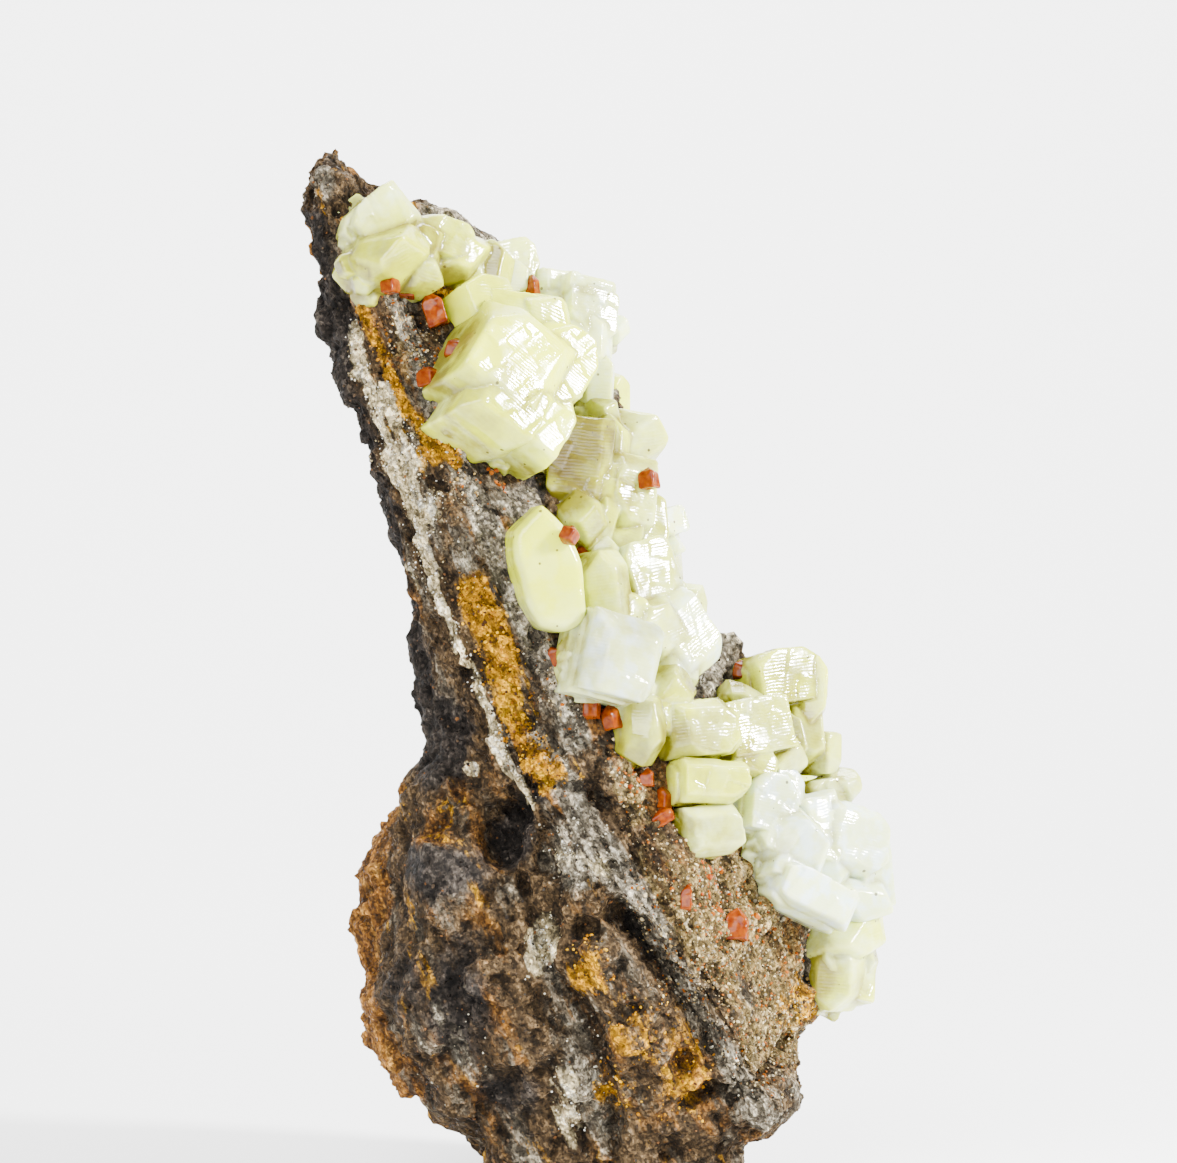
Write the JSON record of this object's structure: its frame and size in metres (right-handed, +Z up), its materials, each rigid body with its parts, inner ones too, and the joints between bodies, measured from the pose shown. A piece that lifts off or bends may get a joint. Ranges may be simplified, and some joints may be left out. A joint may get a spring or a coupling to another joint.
{
  "type": "cerussite crystal specimen",
  "caption": "Tall splinter of rusty gossan rock standing on its broken foot, with pale yellow cerussite crystals and small orange crocoite crystals down one face.",
  "frame": {"origin": "centre of the specimen's outer box, at the level of its flat broken foot", "axes": "+Z up along its longest extent, -Y toward the viewer of the picture, +X to the viewer's right, the side that carries the crystals"},
  "size_m": [0.0296, 0.0216, 0.0514],
  "materials": {
    "gossan": "rough broken rock",
    "cerussite": "milky crystal with a strong, almost metallic shine",
    "crocoite": "glossy orange crystal"
  },
  "bodies": {
    "root": {"gossan_rock": "gossan", "cerussite_great_crystal": "cerussite", "cerussite_pentagon_crystal": "cerussite", "cerussite_crown_cluster": "cerussite", "cerussite_crest_pair": "cerussite", "cerussite_striped_stack": "cerussite", "cerussite_side_sliver": "cerussite", "cerussite_honey_cluster": "cerussite", "cerussite_rim_pair": "cerussite", "cerussite_yellow_tablet": "cerussite", "cerussite_waist_cluster": "cerussite", "cerussite_lower_step": "cerussite", "cerussite_square_block": "cerussite", "cerussite_milky_block": "cerussite", "cerussite_fan_cluster": "cerussite", "cerussite_ridge_cluster": "cerussite", "cerussite_right_lumps": "cerussite", "cerussite_white_mass": "cerussite", "cerussite_foot_cluster": "cerussite", "cerussite_rear_upper": "cerussite", "cerussite_rear_middle": "cerussite", "cerussite_rear_lower": "cerussite", "cerussite_rear_foot": "cerussite", "crocoite_crystal_01": "crocoite", "crocoite_crystal_02": "crocoite", "crocoite_crystal_03": "crocoite", "crocoite_crystal_04": "crocoite", "crocoite_crystal_05": "crocoite", "crocoite_crystal_06": "crocoite", "crocoite_crystal_07": "crocoite", "crocoite_crystal_08": "crocoite", "crocoite_crystal_09": "crocoite", "crocoite_crystal_10": "crocoite", "crocoite_crystal_11": "crocoite", "crocoite_crystal_12": "crocoite", "crocoite_crystal_13": "crocoite", "crocoite_crystal_14": "crocoite", "crocoite_crystal_15": "crocoite", "crocoite_crystal_16": "crocoite", "crocoite_crystal_17": "crocoite", "crocoite_crystal_18": "crocoite"}
  },
  "joints": []
}
